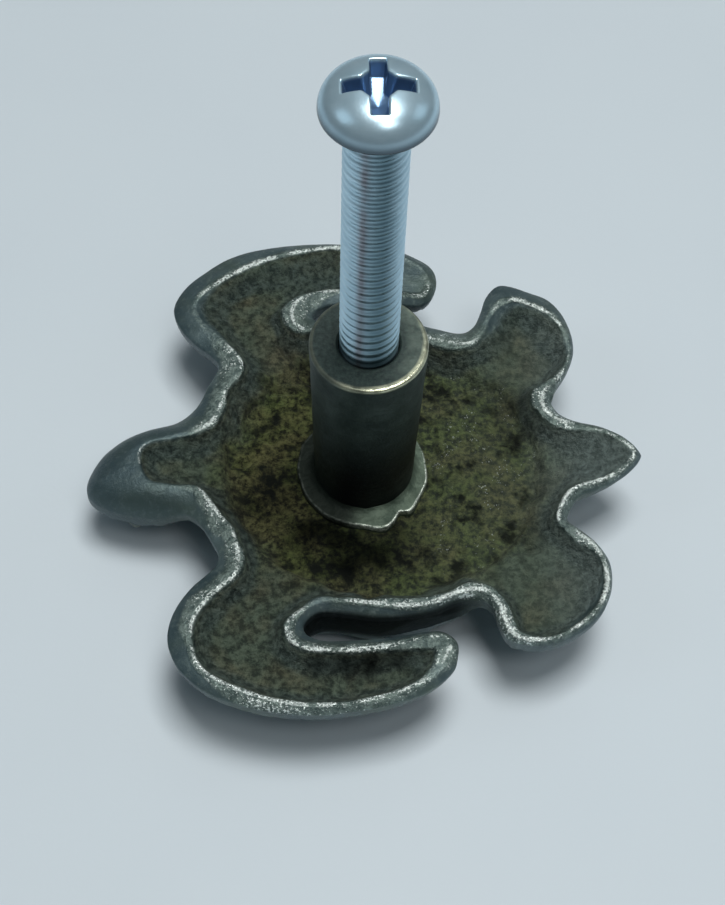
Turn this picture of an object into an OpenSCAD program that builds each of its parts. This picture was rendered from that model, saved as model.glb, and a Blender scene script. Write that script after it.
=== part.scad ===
// Sea-turtle drawer knob, lying on its front with its hollow back and post facing up.
// The origin is the centre of the post's flat end, where the knob seats on a drawer front.
// +Z runs along the post towards the screw's head, +X towards the turtle's tail.

/* [Turtle casting] */
// Length over the nose and the tail tip
turtle_l = 40; // [32:1:56]
// Width over the front flippers
turtle_w = 40; // [32:1:56]
// Height of the domed shell below the rim
shell_h = 7; // [6:0.5:12]
// Width of the rim's filed crest
rim_w = 0.5; // [0.3:0.1:0.8]
// Width of the sloping band outside the crest
band_w = 0.9; // [0.5:0.1:1.2]
// Drop of that band to the widest outline
band_drop = 0.5; // [0.3:0.1:1]
// Depth of the bowl in the shell's back
bowl_depth = 2.4; // [2:0.1:4]

/* [Head, tail and flippers] */
// Reach of the head in front of the shell
head_l = 8.7; // [6:0.1:11]
// Width of the head
head_w = 7.4; // [6:0.1:9]
// Thickness of the head
head_t = 5.4; // [5:0.1:6.4]
// Reach of the tail behind the shell
tail_l = 5.9; // [4:0.1:9]
// Width of the tail where it leaves the shell
tail_w = 5.2; // [4:0.1:7]
// Width of a front flipper across its crest
flipper_w = 4; // [3.4:0.1:5.4]
// Gap between a front flipper and the shell
slot_w = 1.9; // [1:0.1:3]
// Reach of a rear flipper past the shell's side
rear_reach = 2.9; // [2:0.1:5]
// Thickness of a flipper
flipper_t = 3.5; // [3:0.1:4.5]
// Depth of the pocket in a flipper's back
pocket_depth = 1.9; // [1:0.1:2.2]

/* [Post] */
// Height of the post's end above the rim
post_rise = 13.7; // [10:0.1:20]
// Diameter of the post at its free end
post_end_d = 7.8; // [6.6:0.1:10]
// Diameter of the post at the bowl's floor
post_base_d = 7; // [6.4:0.1:9.6]
// Solid metal left under the tapped bore
bore_floor = 2.1; // [1:0.1:6]
// Bevel on the post's outer edge
post_bevel = 0.15; // [0.1:0.05:0.4]

/* [Braze collar] */
// Width of the filler metal around the post
collar_w = 1.4; // [0.6:0.1:2.5]
// Height of the filler metal against the post
collar_h = 1.2; // [0.5:0.1:2]
// Thickness of the filler metal at its outer edge
collar_edge = 0.6; // [0.2:0.1:0.9]

/* [Screw] */
// Outside diameter of the screw's thread
thread_d = 3.9; // [3:0.1:5]
// Length of the screw under its head
screw_l = 25; // [22:1:40]
// Length of the screw that stands in the bore
engaged_l = 3.8; // [2:0.1:7]
// Radial gap between the thread and the bore
thread_gap = 0.05; // [0.02:0.01:0.09]
// Diameter of the pan head
screw_head_d = 6.7; // [6.2:0.1:8]
// Height of the pan head
screw_head_h = 2.4; // [2.2:0.1:3.2]
// Width over the cross recess
recess_w = 4.2; // [3:0.1:4.6]
// Depth of the cross recess
recess_depth = 1.7; // [1:0.1:1.9]

/* [Hidden] */

rim_z = -post_rise;
floor_z = rim_z - bowl_depth;

// The shell in plan, measured at the crest
shell_front = head_l - turtle_l / 2;
shell_back = turtle_l / 2 - tail_l;
shell_len = shell_back - shell_front;
shell_mid = (shell_front + shell_back) / 2;
flip_r = flipper_w / 2;
flip_y = turtle_w / 2 - band_w - flip_r;
shell_r = flip_y - flip_r - 2 * band_w - slot_w;
shell_flat = 3.5;

// The bowl's floor is level under the foot of the collar and a little way past it
bowl_r = shell_r - rim_w;
foot_r = post_base_d / 2 + collar_w;
foot_margin = 0.3;
bowl_flat = foot_r + 0.3 * (bowl_r - foot_r);

// A place along the shell, from 0 at its front to 1 at its back
function along(share) = shell_front + share * shell_len;

// Stations of a limb: [x, y, crest radius, outer band, outer depth, pocket depth]
front_limb = [
    [along(0.19), 0.68 * shell_r, 3.4, 0.6 * band_w, 1.4 * flipper_t, 1.2 * pocket_depth],
    [along(0.08), flip_y - 3.7, 3.2, 1.6 * band_w, 1.2 * flipper_t, pocket_depth],
    [along(0.17), flip_y - 1.1, 2.5, 1.3 * band_w, 1.1 * flipper_t, pocket_depth],
    [along(0.31), flip_y - 0.1, flip_r, band_w, flipper_t, 0.9 * pocket_depth],
    [along(0.45), flip_y - 0.2, 0.95 * flip_r, band_w, 0.95 * flipper_t, 0.85 * pocket_depth],
    [along(0.56), flip_y - 0.9, 0.7 * flip_r, band_w, 0.85 * flipper_t, 0.75 * pocket_depth],
    [along(0.61), flip_y - 1.4, 0.45 * flip_r, band_w, 0.75 * flipper_t, 0.6 * pocket_depth]
];
rear_band = 0.7 * band_w;
rear_limb = [
    [along(0.80), 0.55 * shell_r, 4, rear_band, 1.4 * flipper_t, 1.2 * pocket_depth],
    [along(0.92), shell_r - 2.1, 3.5, rear_band, 1.1 * flipper_t, pocket_depth],
    [along(0.905), shell_r + rear_reach - 2.3, 2.3, rear_band, 0.95 * flipper_t, 0.9 * pocket_depth]
];
tail_band = 0.5 * band_w;
tail_limb = [
    [shell_back - 3, 0, 0.8 * tail_w, tail_band, 1.4 * flipper_t, 1.2 * pocket_depth],
    [shell_back + 0.9, 0, tail_w / 2, tail_band, flipper_t, pocket_depth],
    [shell_back + 0.5 * tail_l, 0, 0.36 * tail_w, tail_band, 0.75 * flipper_t, 0.7 * pocket_depth],
    [turtle_l / 2 - tail_band - 0.3, 0, 0.3, tail_band, 0.4 * flipper_t, 0.2 * pocket_depth]
];

// The head is a rounded lump whose crown just breaks the rim's plane, with a lower snout
crown_r = [3.5, head_w / 2, head_t / 2];
crown_at = [4.9 - turtle_l / 2, 0, 0.4 - crown_r.z];
snout_r = [2.6, 0.4 * head_w, 0.42 * head_t];
snout_at = [snout_r.x - turtle_l / 2, 0, crown_at.z - 0.8];
neck_r = 0.45 * head_w;
neck_x = shell_front + 2;
head_pocket = [
    [neck_x + 2, 0, 0.55 * head_w, 1.2 * pocket_depth],
    [shell_front - 0.6, 0, 0.32 * head_w, 1.1 * pocket_depth],
    [shell_front - 3.4, 0, 0.17 * head_w, 0.7 * pocket_depth]
];

shell_fn = 48;
limb_fn = 28;
arc_step = 18;
cut_lift = 2;
cut = 0.01;

// Section of a rounded lump: flat top at the rim, sloping band, curved underside
function lump_profile(r, band, depth, flat) = concat(
    [[0, 0], [r, 0]],
    [for (t = [0:arc_step:90])
        [flat + (r + band - flat) * cos(t), -band_drop - (depth - band_drop) * sin(t)]],
    [[0, -depth]]
);

// Section of a pocket: open above the rim, with a rounded wall and floor
function pocket_profile(r, depth, flat) = concat(
    [[0, cut_lift], [r, cut_lift]],
    [for (t = [0:arc_step:90]) [flat + (r - flat) * cos(t), -depth * sin(t)]],
    [[0, -depth]]
);

module lump(r, band, depth, fn) {
    rotate_extrude($fn = fn) polygon(lump_profile(r, band, depth, 0.3 * r));
}

module pocket(r, depth, fn) {
    rotate_extrude($fn = fn) polygon(pocket_profile(r, depth, 0.5 * r));
}

// A limb's outer skin, swept through its stations
module limb_skin(stations) {
    for (i = [0:len(stations) - 2]) hull() for (s = [stations[i], stations[i + 1]])
        translate([s.x, s.y, 0]) lump(s[2], s[3], s[4], limb_fn);
}

// The hollow in a limb's back, inside a crest of even width
module limb_pocket(stations) {
    for (i = [0:len(stations) - 2]) hull() for (s = [stations[i], stations[i + 1]])
        translate([s.x, s.y, 0]) pocket(max(s[2] - rim_w, 0.1), s[5], limb_fn);
}

module both_sides() {
    children();
    mirror([0, 1, 0]) children();
}

module shell_skin() {
    translate([shell_mid, 0, 0]) scale([shell_len / 2 / shell_r, 1, 1])
        rotate_extrude($fn = shell_fn) polygon(lump_profile(shell_r, band_w, shell_h, shell_flat));
}

module shell_bowl() {
    translate([shell_mid, 0, 0]) scale([(shell_len / 2 - rim_w) / bowl_r, 1, 1])
        rotate_extrude($fn = shell_fn) polygon(pocket_profile(bowl_r, bowl_depth, bowl_flat));
    translate([0, 0, cut - bowl_depth])
        cylinder(h = bowl_depth + cut_lift, r = foot_r + foot_margin, $fn = shell_fn);
}

// The head and neck, cut level with the rim
module head_skin() {
    intersection() {
        hull() {
            translate(crown_at) scale(crown_r) sphere(1, $fn = limb_fn);
            translate(snout_at) scale(snout_r) sphere(1, $fn = limb_fn);
            translate([neck_x, 0, 0]) lump(neck_r, 0.6 * band_w, head_t, limb_fn);
        }
        translate([-turtle_l, -turtle_w / 2, -2 * shell_h]) cube([turtle_l, turtle_w, 2 * shell_h]);
    }
}

module head_hollow() {
    for (i = [0:len(head_pocket) - 2]) hull() for (s = [head_pocket[i], head_pocket[i + 1]])
        translate([s.x, s.y, 0]) pocket(s[2], s[3], limb_fn);
}

module turtle_casting() {
    color([0.36, 0.38, 0.36]) translate([0, 0, rim_z]) difference() {
        union() {
            shell_skin();
            head_skin();
            limb_skin(tail_limb);
            both_sides() limb_skin(front_limb);
            both_sides() limb_skin(rear_limb);
        }
        shell_bowl();
        head_hollow();
        limb_pocket(tail_limb);
        both_sides() limb_pocket(front_limb);
        both_sides() limb_pocket(rear_limb);
    }
}

// Diameter of the post at a height above the bowl's floor
function post_d_at(h) = post_base_d + (post_end_d - post_base_d) * h / (post_rise + bowl_depth);

bore_r = thread_d / 2 + thread_gap;
bore_depth = post_rise + bowl_depth - bore_floor;
mouth_bevel = 0.35;

module threaded_post() {
    straight_l = post_rise + bowl_depth - post_bevel;
    color([0.3, 0.29, 0.24]) difference() {
        union() {
            translate([0, 0, floor_z])
                cylinder(h = straight_l, d1 = post_base_d, d2 = post_d_at(straight_l), $fn = 64);
            translate([0, 0, -post_bevel])
                cylinder(h = post_bevel, d1 = post_d_at(straight_l), d2 = post_end_d - 2 * post_bevel, $fn = 64);
        }
        translate([0, 0, -bore_depth]) cylinder(h = bore_depth + cut, r = bore_r, $fn = 48);
        translate([0, 0, -mouth_bevel])
            cylinder(h = mouth_bevel + cut, r1 = bore_r, r2 = bore_r + mouth_bevel + cut, $fn = 48);
    }
}

module braze_collar() {
    color([0.36, 0.42, 0.34]) difference() {
        translate([0, 0, floor_z]) rotate_extrude($fn = 64) polygon([
            [0, 0],
            [foot_r, 0],
            [foot_r, collar_edge],
            [foot_r - 0.65 * collar_w, 0.7 * collar_h],
            [post_d_at(collar_h) / 2, collar_h],
            [0, collar_h]
        ]);
        translate([0, 0, floor_z])
            cylinder(h = collar_h, d1 = post_base_d, d2 = post_d_at(collar_h), $fn = 64);
    }
}

// The screw stands with its tip in the bore and its head clear of the post
seat_z = screw_l - engaged_l;
tip_bevel = 0.4;
head_edge_h = 0.25 * screw_head_h;
crown_steps = 6;
wing_w = 0.75;

// Pan head section: a short upright edge, then a crown that turns over in an elliptical arc
function crown() = [for (i = [0:crown_steps])
    let (t = 90 * i / crown_steps)
    [screw_head_d / 2 * (0.15 + 0.85 * cos(t)), head_edge_h + (screw_head_h - head_edge_h) * sin(t)]];

module cross_recess() {
    translate([0, 0, screw_head_h - recess_depth]) {
        for (turn = [0, 90]) rotate([0, 0, turn])
            translate([-recess_w / 2, -wing_w / 2, 0]) cube([recess_w, wing_w, recess_depth + cut]);
        cylinder(h = recess_depth + cut, r1 = wing_w, r2 = 0.3 * recess_w, $fn = 32);
    }
}

module mounting_screw() {
    color([0.72, 0.75, 0.78]) translate([0, 0, seat_z]) {
        difference() {
            rotate_extrude($fn = 64) polygon(concat([[0, 0], [screw_head_d / 2, 0]], crown(), [[0, screw_head_h]]));
            cross_recess();
        }
        translate([0, 0, tip_bevel - screw_l]) cylinder(h = screw_l - tip_bevel, d = thread_d, $fn = 48);
        translate([0, 0, -screw_l])
            cylinder(h = tip_bevel, d1 = thread_d - 2 * tip_bevel, d2 = thread_d, $fn = 48);
    }
}

turtle_casting();
braze_collar();
threaded_post();
mounting_screw();
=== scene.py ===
"""Looks of a cast sea-turtle drawer knob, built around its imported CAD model.

Lengths are in millimetres until a mesh is made. The row frame has its origin at the centre of
the post's flat end, +Z towards the screw's head and +X towards the turtle's tail. The casting
is described from its rim: z is 0 on the rim and negative towards the domed front.
"""
import math

import bmesh
import bpy
import numpy as np
from mathutils import Matrix, Vector


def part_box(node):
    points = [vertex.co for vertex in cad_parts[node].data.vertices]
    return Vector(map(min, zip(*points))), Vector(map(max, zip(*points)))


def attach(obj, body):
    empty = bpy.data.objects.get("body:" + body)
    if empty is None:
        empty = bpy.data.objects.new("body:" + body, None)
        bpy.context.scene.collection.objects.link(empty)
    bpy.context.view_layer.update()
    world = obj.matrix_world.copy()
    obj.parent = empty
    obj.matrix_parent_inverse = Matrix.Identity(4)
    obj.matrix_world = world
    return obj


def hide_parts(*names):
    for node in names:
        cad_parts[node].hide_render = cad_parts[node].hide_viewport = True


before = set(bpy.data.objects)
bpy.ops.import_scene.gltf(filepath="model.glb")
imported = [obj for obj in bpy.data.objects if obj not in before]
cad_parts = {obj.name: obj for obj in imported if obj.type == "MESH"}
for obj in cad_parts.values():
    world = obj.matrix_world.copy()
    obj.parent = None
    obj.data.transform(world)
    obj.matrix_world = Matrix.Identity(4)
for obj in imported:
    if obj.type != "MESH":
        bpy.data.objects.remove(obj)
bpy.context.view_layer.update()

MM = 0.001


def node_box(name):
    """Lowest and highest corners of a CAD node, in millimetres."""
    low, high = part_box(name)
    return np.array(low) / MM, np.array(high) / MM


# ---- general numeric helpers

def ramp(low, high, value):
    """A smooth step from 0 at low to 1 at high."""
    t = np.clip((value - low) / (high - low), 0, 1)
    return t * t * (3 - 2 * t)


def blend_min(a, b, width):
    """The smaller of two fields, rounded where they cross."""
    share = np.clip(0.5 + 0.5 * (b - a) / width, 0, 1)
    return b + (a - b) * share - width * share * (1 - share)


def blend_max(a, b, width):
    return -blend_min(-a, -b, width)


def noise(points, size, seed):
    """Smooth value noise from -1 to 1, with lumps of about the given size."""
    cells = 64
    table = np.random.RandomState(seed).uniform(-1, 1, (cells, cells, cells)).astype(np.float32)
    place = np.asarray(points, np.float64) / size + 1000
    whole = np.floor(place).astype(int)
    part = place - whole
    part = part * part * (3 - 2 * part)
    total = 0
    for corner in np.ndindex(2, 2, 2):
        weight = np.where(corner, part, 1 - part).prod(1)
        i, j, k = ((whole + corner) % cells).T
        total = total + weight * table[i, j, k]
    return total


def layered_noise(points, size, layers, seed):
    """Value noise in layers, each half the size and half the height of the one before."""
    total = 0
    for layer in range(layers):
        total = total + noise(points, size / 2 ** layer, seed + layer) / 2 ** layer
    return total


def flat_points(xy):
    """Plan points as 3-D points at height 0."""
    return np.concatenate([xy, np.zeros((len(xy), 1))], 1)


def smooth_loop(points, per_span):
    """A closed curve through the points, as a fine polyline."""
    p = np.array(points, float)
    before, after, beyond = np.roll(p, 1, 0), np.roll(p, -1, 0), np.roll(p, -2, 0)
    rows = []
    for t in np.arange(per_span) / per_span:
        rows.append(0.5 * (
            2 * p + (after - before) * t
            + (2 * before - 5 * p + 4 * after - beyond) * t ** 2
            + (3 * p - before - 3 * after + beyond) * t ** 3))
    return np.stack(rows, 1).reshape(-1, 2)


def loop_distance(loop, xy):
    """Distance of plan points from a closed polyline, negative inside it."""
    nearest = np.full(len(xy), np.inf)
    inside = np.zeros(len(xy), bool)
    for a, b in zip(loop, np.roll(loop, -1, 0)):
        span = b - a
        rel = xy - a
        share = np.clip(rel @ span / (span @ span), 0, 1)
        nearest = np.minimum(nearest, ((rel - share[:, None] * span) ** 2).sum(1))
        if a[1] != b[1]:
            crossed = (a[1] > xy[:, 1]) != (b[1] > xy[:, 1])
            inside ^= crossed & (rel[:, 0] < span[0] * rel[:, 1] / span[1])
    return np.where(inside, -1, 1) * np.sqrt(nearest)


class Plan:
    """Fields over the turtle's plan, kept on a square grid and read between its points."""

    def __init__(self, reach, step):
        self.reach, self.step = reach, step
        axis = np.arange(-reach, reach + step, step)
        self.count = len(axis)
        self.xy = np.stack(np.meshgrid(axis, axis, indexing="ij"), -1).reshape(-1, 2)

    def grid(self, values):
        return np.asarray(values, float).reshape(self.count, self.count)

    def read(self, grid, xy):
        place = np.clip((xy + self.reach) / self.step, 0, self.count - 1.001)
        whole = place.astype(int)
        fx, fy = (place - whole).T
        i, j = whole.T
        return ((grid[i, j] * (1 - fx) + grid[i + 1, j] * fx) * (1 - fy)
                + (grid[i, j + 1] * (1 - fx) + grid[i + 1, j + 1] * fx) * fy)


def softened(grid):
    """The grid with its sharp corners eased."""
    for axis in (0, 1):
        grid = (np.roll(grid, 1, axis) + 2 * grid + np.roll(grid, -1, axis)) / 4
    return grid


def surface_net(value, low, high, step, slab=24):
    """Points and four-sided faces of the surface where value(points) passes through 0."""
    counts = [int(math.ceil((h - l) / step)) + 1 for l, h in zip(low, high)]
    axes = [l + step * np.arange(n) for l, n in zip(low, counts)]
    inside = np.zeros(counts, bool)
    for start in range(0, counts[2], slab):
        z = axes[2][start:start + slab]
        block = np.stack(np.meshgrid(axes[0], axes[1], z, indexing="ij"), -1).reshape(-1, 3)
        inside[:, :, start:start + slab] = (value(block) < 0).reshape(counts[0], counts[1], len(z))
    filled = np.zeros([n - 1 for n in counts], np.uint8)
    for i, j, k in np.ndindex(2, 2, 2):
        filled += inside[i:counts[0] - 1 + i, j:counts[1] - 1 + j, k:counts[2] - 1 + k]
    mixed = (filled > 0) & (filled < 8)
    number = np.full(mixed.shape, -1, np.int64)
    cells = np.argwhere(mixed)
    number[mixed] = np.arange(len(cells))
    points = np.array(low) + (cells + 0.5) * step
    quads = []
    for axis in range(3):
        change = np.argwhere(np.diff(inside, axis=axis))
        side_a, side_b = (axis + 1) % 3, (axis + 2) % 3
        change = change[(change[:, side_a] > 0) & (change[:, side_b] > 0)]
        a, b = np.eye(3, dtype=int)[side_a], np.eye(3, dtype=int)[side_b]
        around = [number[tuple((change - shift).T)] for shift in (0 * a, a, a + b, b)]
        quad = np.stack(around, 1)
        leaving = inside[tuple(change.T)]
        quads.append(np.where(leaving[:, None], quad, quad[:, ::-1]))
    return points, np.concatenate(quads)


def slope_of(value, points, reach=0.03):
    """Gradient of value at the points."""
    columns = []
    for axis in range(3):
        shift = np.zeros(3)
        shift[axis] = reach
        columns.append((value(points + shift) - value(points - shift)) / (2 * reach))
    return np.stack(columns, 1)


def settle(value, points, quads, step, rounds=3):
    """Evens out a net's points and draws them onto the surface."""
    for number in range(rounds):
        if number:
            total = np.zeros_like(points)
            count = np.zeros(len(points))
            for a, b in ((0, 1), (1, 2), (2, 3), (3, 0)):
                for one, other in ((a, b), (b, a)):
                    np.add.at(total, quads[:, one], points[quads[:, other]])
                    np.add.at(count, quads[:, one], 1)
            points = 0.4 * points + 0.6 * total / np.maximum(count, 1)[:, None]
        for _ in range(2):
            slope = slope_of(value, points)
            size = (slope ** 2).sum(1) + 1e-6
            move = -slope * (value(points) / size)[:, None]
            length = np.linalg.norm(move, axis=1)
            move *= np.minimum(1, 0.5 * step / (length + 1e-9))[:, None]
            points = points + move
    return points


# ---- mesh helpers

def add_object(name, data):
    obj = bpy.data.objects.new(name, data)
    bpy.context.scene.collection.objects.link(obj)
    return obj


def new_mesh(name, points, faces, body, material):
    """A smooth-shaded object from points in millimetres, riding on a CAD body."""
    mesh = bpy.data.meshes.new(name)
    mesh.vertices.add(len(points))
    mesh.vertices.foreach_set("co", (np.asarray(points) * MM).astype(np.float32).ravel())
    sizes = [len(f) for f in faces]
    corners = np.concatenate(faces)
    mesh.loops.add(len(corners))
    mesh.loops.foreach_set("vertex_index", corners.astype(np.int32))
    mesh.polygons.add(len(sizes))
    starts = np.concatenate([[0], np.cumsum(sizes)[:-1]])
    mesh.polygons.foreach_set("loop_start", starts.astype(np.int32))
    mesh.polygons.foreach_set("use_smooth", np.ones(len(sizes), bool))
    mesh.update(calc_edges=True)
    mesh.validate()
    mesh.materials.append(material)
    obj = add_object(name, mesh)
    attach(obj, body)
    return obj


def paint(obj, name, values):
    """A number for each point, which the material reads by name."""
    layer = obj.data.attributes.new(name, "FLOAT", "POINT")
    layer.data.foreach_set("value", np.clip(values, 0, 1).astype(np.float32))


def ring_points(radius, turn, height):
    """Points at a radius and an angle about the Z axis."""
    x, y, z = np.broadcast_arrays(radius * np.cos(turn), radius * np.sin(turn), height)
    return np.stack([x, y, z], -1).reshape(-1, 3)


def grid_faces(rows, columns):
    """Faces of a sheet of points in rows."""
    a = (np.arange(rows - 1)[:, None] * columns + np.arange(columns - 1)).ravel()
    return np.stack([a, a + 1, a + columns + 1, a + columns], 1)


def ring_faces(rows, around):
    """Faces of a tube of point rings, each ring closed on itself."""
    row = np.arange(rows - 1)[:, None] * around
    j = np.arange(around)
    a, b = (row + j).ravel(), (row + (j + 1) % around).ravel()
    return np.stack([a, b, b + around, a + around], 1)


# ---- node-based materials

class Material:
    """A small builder for node materials. Every pattern is in the row frame's millimetres."""

    def __init__(self, name):
        self.material = bpy.data.materials.new(name)
        self.material.use_nodes = True
        self.tree = self.material.node_tree
        self.tree.nodes.clear()
        self.shader = self.node("BsdfPrincipled")
        self.link(self.shader.outputs[0], self.node("OutputMaterial").inputs["Surface"])
        scale = self.node("VectorMath")
        scale.operation = "SCALE"
        scale.inputs["Scale"].default_value = 1 / MM
        self.link(self.node("TexCoord").outputs["Object"], scale.inputs[0])
        self.place = scale.outputs[0]

    def node(self, kind):
        return self.tree.nodes.new("ShaderNode" + kind)

    def link(self, source, socket):
        self.tree.links.new(source, socket)

    def put(self, socket, value):
        if isinstance(value, bpy.types.NodeSocket):
            self.link(value, socket)
        else:
            socket.default_value = value

    def noise(self, size, detail, roughness):
        """Cloudy noise with lumps of about the given size in millimetres, from 0 to 1."""
        node = self.node("TexNoise")
        node.inputs["Scale"].default_value = 1 / size
        node.inputs["Detail"].default_value = detail
        node.inputs["Roughness"].default_value = roughness
        self.link(self.place, node.inputs["Vector"])
        return node.outputs[0]

    def attribute(self, name):
        node = self.node("Attribute")
        node.attribute_name = name
        return node.outputs["Fac"]

    def axis(self, name):
        node = self.node("SeparateXYZ")
        self.link(self.place, node.inputs[0])
        return node.outputs[name]

    def math(self, operation, a, b):
        node = self.node("Math")
        node.operation = operation
        self.put(node.inputs[0], a)
        self.put(node.inputs[1], b)
        return node.outputs[0]

    def times(self, a, b):
        return self.math("MULTIPLY", a, b)

    def between(self, value, low, high, start=0.0, end=1.0):
        """The value taken from low..high to start..end, with the ends held."""
        node = self.node("MapRange")
        for name, number in (("Value", value), ("From Min", low), ("From Max", high),
                             ("To Min", start), ("To Max", end)):
            self.put(node.inputs[name], number)
        return node.outputs[0]

    def mix(self, share, a, b):
        """Colour a where share is 0 and b where it is 1."""
        node = self.node("Mix")
        node.data_type = "RGBA"
        self.put(node.inputs[0], share)
        for socket, value in ((node.inputs[6], a), (node.inputs[7], b)):
            self.put(socket, (*value, 1) if isinstance(value, tuple) else value)
        return node.outputs[2]

    def bump(self, height, depth, normal=None):
        """A bump of the given depth in millimetres, on top of another one if normal is given."""
        node = self.node("Bump")
        node.inputs["Strength"].default_value = 1.0
        node.inputs["Distance"].default_value = depth * MM
        self.link(height, node.inputs["Height"])
        if normal is not None:
            self.link(normal, node.inputs["Normal"])
        return node.outputs[0]

    def finish(self, color, roughness, metallic, normal):
        for name, value in (("Base Color", color), ("Roughness", roughness),
                            ("Metallic", metallic), ("Normal", normal)):
            self.put(self.shader.inputs[name], value)
        return self.material


def shade(level):
    """A number as the colour that Material.mix takes."""
    return (level, level, level)


def cast_material():
    """Aged brass casting: rough olive hollow, smooth blue-grey band and front, filed bright rim."""
    m = Material("cast_brass_patina")
    hollow, line, marks, worn, wall, bowl, dark = (
        m.attribute(n) for n in ("hollow", "line", "marks", "worn", "wall", "bowl", "dark"))
    patches = m.noise(4.5, 3, 0.6)
    clouds = m.noise(1.7, 4, 0.6)
    grain = m.noise(0.5, 5, 0.75)
    specks = m.noise(0.17, 2, 0.6)
    fleck = m.between(grain, 0.41, 0.60)
    brownish = m.between(patches, 0.42, 0.62)
    along = m.axis("X")
    # The hollow: an olive bowl with brown patches, grey-green limbs and blue-green walls
    olive = m.mix(fleck, (0.008, 0.012, 0.004), (0.155, 0.205, 0.062))
    brown = m.mix(fleck, (0.014, 0.014, 0.006), (0.200, 0.202, 0.082))
    floor = m.mix(brownish, olive, brown)
    grey = m.mix(fleck, (0.034, 0.050, 0.038), (0.145, 0.195, 0.140))
    warm = m.mix(fleck, (0.048, 0.052, 0.034), (0.185, 0.192, 0.120))
    floor = m.mix(bowl, m.mix(brownish, grey, warm), floor)
    floor = m.mix(m.between(along, -4.0, 17.0, 0.0, 0.45), floor, (0.140, 0.190, 0.145))
    pits = m.times(m.between(clouds, 0.48, 0.36), m.between(bowl, 0, 1, 0.25, 1.0))
    floor = m.mix(pits, floor, (0.006, 0.010, 0.005))
    walls = m.mix(fleck, (0.020, 0.036, 0.032), (0.110, 0.155, 0.135))
    inside = m.mix(m.times(wall, m.between(clouds, 0.3, 0.6, 0.4, 1.0)), floor, walls)
    pale = m.mix(fleck, (0.095, 0.130, 0.122), (0.200, 0.262, 0.250))
    inside = m.mix(m.between(along, 11.5, 16.0, 0.0, 0.85), inside, pale)
    # The outside: smooth blue-grey with faint lighter and greener clouds
    outside = m.mix(m.between(clouds, 0.3, 0.7), (0.052, 0.086, 0.096), (0.115, 0.165, 0.172))
    outside = m.mix(m.between(patches, 0.45, 0.65), outside, (0.095, 0.135, 0.115))
    outside = m.mix(m.between(grain, 0.52, 0.75), outside, (0.19, 0.25, 0.24))
    outside = m.mix(m.between(along, -10.5, -14.5, 0.0, 0.55), outside, (0.034, 0.064, 0.078))
    base = m.mix(hollow, outside, inside)
    # The filed rim and its marks: grey metal with a broken bright line and bright specks, filed metal
    # whose sparkle is partly painted highlight
    filed = m.mix(fleck, (0.07, 0.105, 0.095), (0.24, 0.31, 0.28))
    base = m.mix(m.times(m.between(marks, 0.1, 0.6), 0.8), base, filed)
    # Painted shade: the dark mask turns the slot's walls and the shade spots near-black
    base = m.mix(m.times(dark, 0.92), base, (0.003, 0.004, 0.004))
    glint = m.math("ADD", specks, m.times(clouds, 0.8))
    sparse = m.times(m.between(marks, 0.2, 0.8), m.between(glint, 1.02, 1.09))
    streak = m.math("ADD", clouds, m.times(specks, 0.5))
    dense = m.times(m.between(line, 0.4, 0.9), m.between(streak, 0.69, 0.77))
    dense = m.times(dense, m.between(specks, 0.36, 0.5, 0.25, 1.0))
    broken = m.math("MAXIMUM", sparse, dense)
    bowl_glint = m.between(glint, 1.135, 1.18, 0.0, 0.7)
    bowl_glint = m.times(m.between(along, 4.5, 6.0), bowl_glint)
    broken = m.math("MAXIMUM", broken, m.times(bowl, bowl_glint))
    color = m.mix(broken, base, (0.80, 0.88, 0.85))
    color = m.mix(m.times(worn, m.between(grain, 0.35, 0.65)), color, (0.24, 0.25, 0.19))
    rough_dark = m.mix(hollow, shade(0.42), shade(0.50))
    # The painted shade is also made rough, not metallic and low in specular
    rough_dark = m.mix(dark, rough_dark, shade(0.9))
    roughness = m.mix(broken, rough_dark, shade(0.28))
    metallic = m.mix(hollow, shade(0.5), shade(0.2))
    metallic = m.mix(dark, metallic, shade(0.0))
    metallic = m.mix(broken, metallic, shade(0.6))
    m.put(m.shader.inputs["Specular IOR Level"], m.between(dark, 0, 1, 0.5, 0.05))
    height = m.math("SUBTRACT", m.math("ADD", grain, m.times(clouds, 0.8)), 0.9)
    height = m.times(height, m.between(hollow, 0, 1, 0.12, 1.0))
    normal = m.bump(height, 0.6)
    normal = m.bump(m.times(specks, marks), 0.16, normal)
    return m.finish(color, roughness, metallic, normal)


def post_material():
    """Turned brass under a dark blue-green patina, worn bright on its end's edge."""
    m = Material("turned_brass_patina")
    edge, face, foot, pale = (m.attribute(n) for n in ("edge", "face", "foot", "pale"))
    clouds = m.noise(1.6, 5, 0.6)
    grain = m.noise(0.3, 4, 0.65)
    side = m.mix(m.between(clouds, 0.3, 0.7), (0.020, 0.036, 0.032), (0.055, 0.080, 0.070))
    # Painted shade: the side darkens to near-black towards its foot
    side = m.mix(foot, side, (0.004, 0.006, 0.007))
    end = m.mix(m.between(grain, 0.35, 0.7), (0.012, 0.026, 0.025), (0.046, 0.078, 0.068))
    # Painted light: the end face is paler on one side
    end = m.mix(m.times(pale, m.between(clouds, 0.35, 0.65)), end, (0.16, 0.21, 0.175))
    color = m.mix(face, side, end)
    color = m.mix(m.times(edge, m.between(clouds, 0.25, 0.55)), color, (0.78, 0.80, 0.58))
    roughness = m.mix(edge, m.mix(face, shade(0.5), shade(0.55)), shade(0.3))
    metallic = m.mix(edge, m.mix(face, shade(0.5), shade(0.2)), shade(0.8))
    height = m.math("ADD", m.times(grain, 0.6), clouds)
    return m.finish(color, roughness, metallic, m.bump(height, 0.05))


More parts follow.
